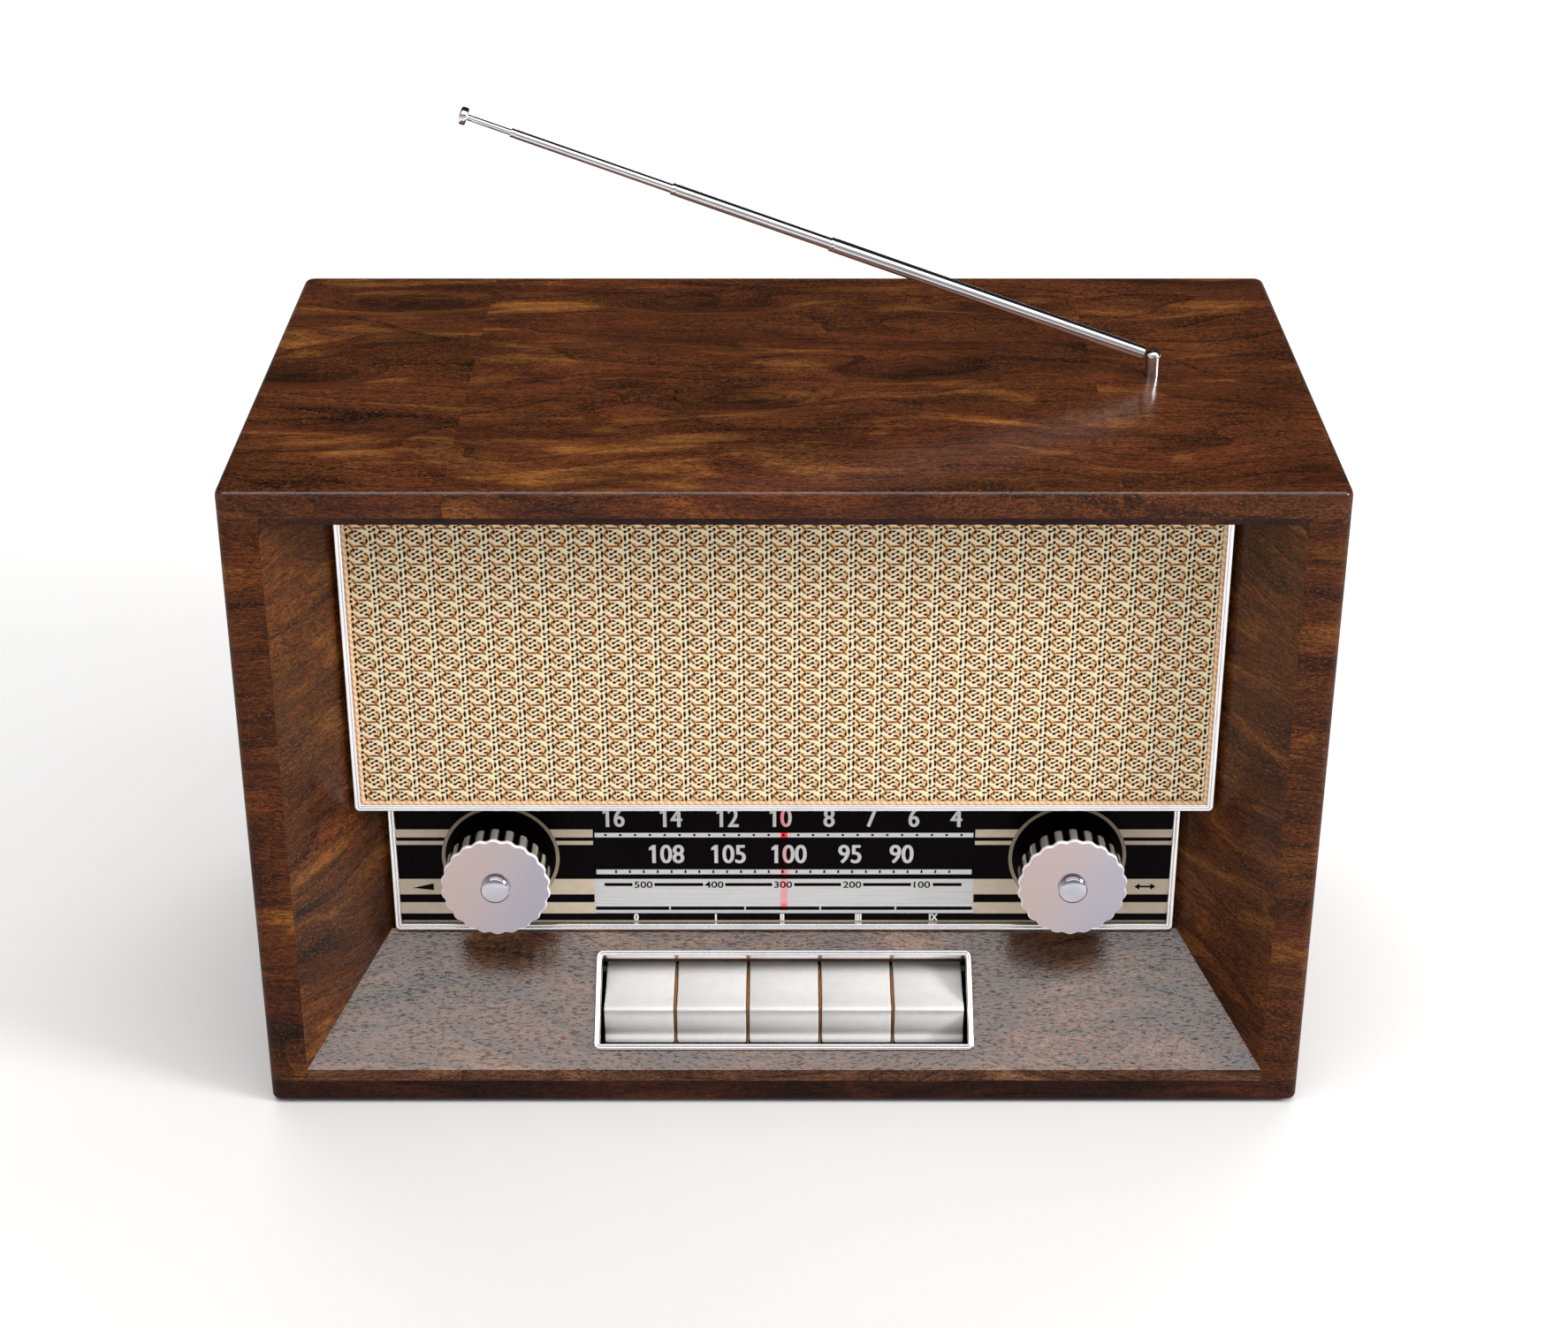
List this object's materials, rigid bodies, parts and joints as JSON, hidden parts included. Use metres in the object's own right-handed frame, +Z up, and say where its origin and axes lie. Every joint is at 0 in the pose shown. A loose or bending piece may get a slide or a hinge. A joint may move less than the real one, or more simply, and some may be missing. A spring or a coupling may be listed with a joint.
{
  "type": "table radio",
  "caption": "Wooden table radio with a recessed front: cloth grille, glass tuning scale, two fluted knobs, piano keys and a telescopic aerial.",
  "frame": {"origin": "on the table surface, under the middle of the cabinet", "axes": "+X to the listener's right, +Y from the front to the back, +Z up"},
  "size_m": [0.38, 0.2126, 0.3477],
  "materials": {
    "walnut": "dark walnut veneer, satin lacquer",
    "hardboard": "smooth brown hardboard",
    "pine": "bare softwood",
    "speaker_cloth": "woven cream and brown speaker cloth",
    "chrome_trim": "bright chrome",
    "satin_silver": "satin, slightly lilac",
    "scale_glass": "reverse-printed glass",
    "reflector_white": "matt white paint",
    "pointer_red": "red paint",
    "key_ivory": "satin off-white",
    "divider_brown": "amber-brown",
    "bright_steel": "zinc-plated",
    "black_plastic": "moulded, matt",
    "cord_nylon": "waxed braided cord",
    "circuit_laminate": "phenolic laminate",
    "component_mix": "mixed component cases",
    "speaker_paper": "pressed black paper",
    "ferrite": "ferrite and plated steel",
    "core_steel": "varnished laminations",
    "foot_rubber": "matt",
    "brass_plain": "plain"
  },
  "bodies": {
    "radio": {"top_panel": "walnut", "bottom_panel": "walnut", "left_side_panel": "walnut", "right_side_panel": "walnut", "head_rail": "walnut", "left_cheek": "walnut", "right_cheek": "walnut", "sloping_sill": "walnut", "corner_blocks": "pine", "back_panel": "hardboard", "back_panel_screws": "bright_steel", "rubber_feet": "foot_rubber", "grille_frame": "chrome_trim", "grille_cloth": "speaker_cloth", "grille_board": "hardboard", "dial_frame": "chrome_trim", "dial_glass": "scale_glass", "dial_reflector": "reflector_white", "pointer_rail": "bright_steel", "dial_lamps": "brass_plain", "volume_control": "bright_steel", "cord_guides": "brass_plain", "dial_cord": "cord_nylon", "tuning_capacitor": "bright_steel", "key_dividers": "divider_brown", "key_frame": "chrome_trim", "key_pivot_rod": "bright_steel", "key_switch_bank": "black_plastic", "chassis": "bright_steel", "circuit_board": "circuit_laminate", "board_components": "component_mix", "mains_transformer": "core_steel", "mains_inlet": "black_plastic", "speaker_basket": "bright_steel", "speaker_cone": "speaker_paper", "speaker_magnet": "ferrite", "antenna_bush": "brass_plain"},
    "volume_control_spindle": {"volume_knob": "chrome_trim", "volume_knob_disc": "satin_silver", "volume_knob_boss": "chrome_trim", "volume_shaft": "bright_steel"},
    "tuner_spindle": {"tuner_knob": "chrome_trim", "tuner_knob_disc": "satin_silver", "tuner_knob_boss": "chrome_trim", "tuner_shaft": "bright_steel"},
    "pointer": {"dial_pointer": "pointer_red"},
    "capacitor_drum": {"tuning_drum": "black_plastic", "capacitor_rotor": "bright_steel"},
    "key_lever_1": {"key_1": "key_ivory"},
    "key_lever_2": {"key_2": "key_ivory"},
    "key_lever_3": {"key_3": "key_ivory"},
    "key_lever_4": {"key_4": "key_ivory"},
    "key_lever_5": {"key_5": "key_ivory"},
    "antenna_fork": {"antenna_post": "chrome_trim", "antenna_hinge_pin": "bright_steel"},
    "antenna_section_1": {"antenna_tube_1": "chrome_trim"},
    "antenna_section_2": {"antenna_tube_2": "chrome_trim"},
    "antenna_section_3": {"antenna_tube_3": "chrome_trim"},
    "antenna_section_4": {"antenna_tube_4": "chrome_trim", "antenna_tip": "chrome_trim"}
  },
  "joints": [
    {"name": "volume_turn", "type": "hinge", "parent": "radio", "child": "volume_control_spindle", "pos_m": [-0.1054, -0.07425, 0.08], "axis": [0, 1, 0], "range_deg": [-60, 240]},
    {"name": "tuner_turn", "type": "hinge", "parent": "radio", "child": "tuner_spindle", "pos_m": [0.1054, -0.07425, 0.08], "axis": [0, 1, 0], "range_deg": [-760, 760]},
    {"name": "pointer_slide", "type": "slide", "parent": "radio", "child": "pointer", "axis": [1, 0, 0], "range_m": [-0.0605, 0.0605]},
    {"name": "capacitor_turn", "type": "hinge", "parent": "radio", "child": "capacitor_drum", "pos_m": [0.04, -0.04625, 0.0715], "axis": [0, 1, 0], "range_deg": [-90, 90]},
    {"name": "key_1_press", "type": "hinge", "parent": "radio", "child": "key_lever_1", "pos_m": [-0.054, -0.05425, 0.0255], "axis": [1, 0, 0], "range_deg": [0, 7], "stiffness_Nm_per_rad": 0.1, "springref_deg": -11.46},
    {"name": "key_2_press", "type": "hinge", "parent": "radio", "child": "key_lever_2", "pos_m": [-0.027, -0.05425, 0.0255], "axis": [1, 0, 0], "range_deg": [0, 7], "stiffness_Nm_per_rad": 0.1, "springref_deg": -11.46},
    {"name": "key_3_press", "type": "hinge", "parent": "radio", "child": "key_lever_3", "pos_m": [0, -0.05425, 0.0255], "axis": [1, 0, 0], "range_deg": [0, 7], "stiffness_Nm_per_rad": 0.1, "springref_deg": -11.46},
    {"name": "key_4_press", "type": "hinge", "parent": "radio", "child": "key_lever_4", "pos_m": [0.027, -0.05425, 0.0255], "axis": [1, 0, 0], "range_deg": [0, 7], "stiffness_Nm_per_rad": 0.1, "springref_deg": -11.46},
    {"name": "key_5_press", "type": "hinge", "parent": "radio", "child": "key_lever_5", "pos_m": [0.054, -0.05425, 0.0255], "axis": [1, 0, 0], "range_deg": [0, 7], "stiffness_Nm_per_rad": 0.1, "springref_deg": -11.46},
    {"name": "antenna_swivel", "type": "hinge", "parent": "radio", "child": "antenna_fork", "pos_m": [0.1344, 0, 0.2545], "axis": [0, 0, 1], "continuous": true},
    {"name": "antenna_tilt", "type": "hinge", "parent": "antenna_fork", "child": "antenna_section_1", "pos_m": [0.1344, 0, 0.2545], "axis": [0, 1, 0], "range_deg": [-18, 70]},
    {"name": "antenna_slide_2", "type": "slide", "parent": "antenna_section_1", "child": "antenna_section_2", "axis": [-0.9397, 0, 0.342], "range_m": [-0.058, 0.043]},
    {"name": "antenna_slide_3", "type": "slide", "parent": "antenna_section_2", "child": "antenna_section_3", "axis": [-0.9397, 0, 0.342], "range_m": [-0.058, 0.04]},
    {"name": "antenna_slide_4", "type": "slide", "parent": "antenna_section_3", "child": "antenna_section_4", "axis": [-0.9397, 0, 0.342], "range_m": [-0.0155, 0.077]}
  ],
  "couplings": [
    {"joint": "pointer_slide", "follows": "tuner_turn", "m_per_rad": 0.00455},
    {"joint": "capacitor_turn", "follows": "tuner_turn", "ratio": 0.11652}
  ]
}
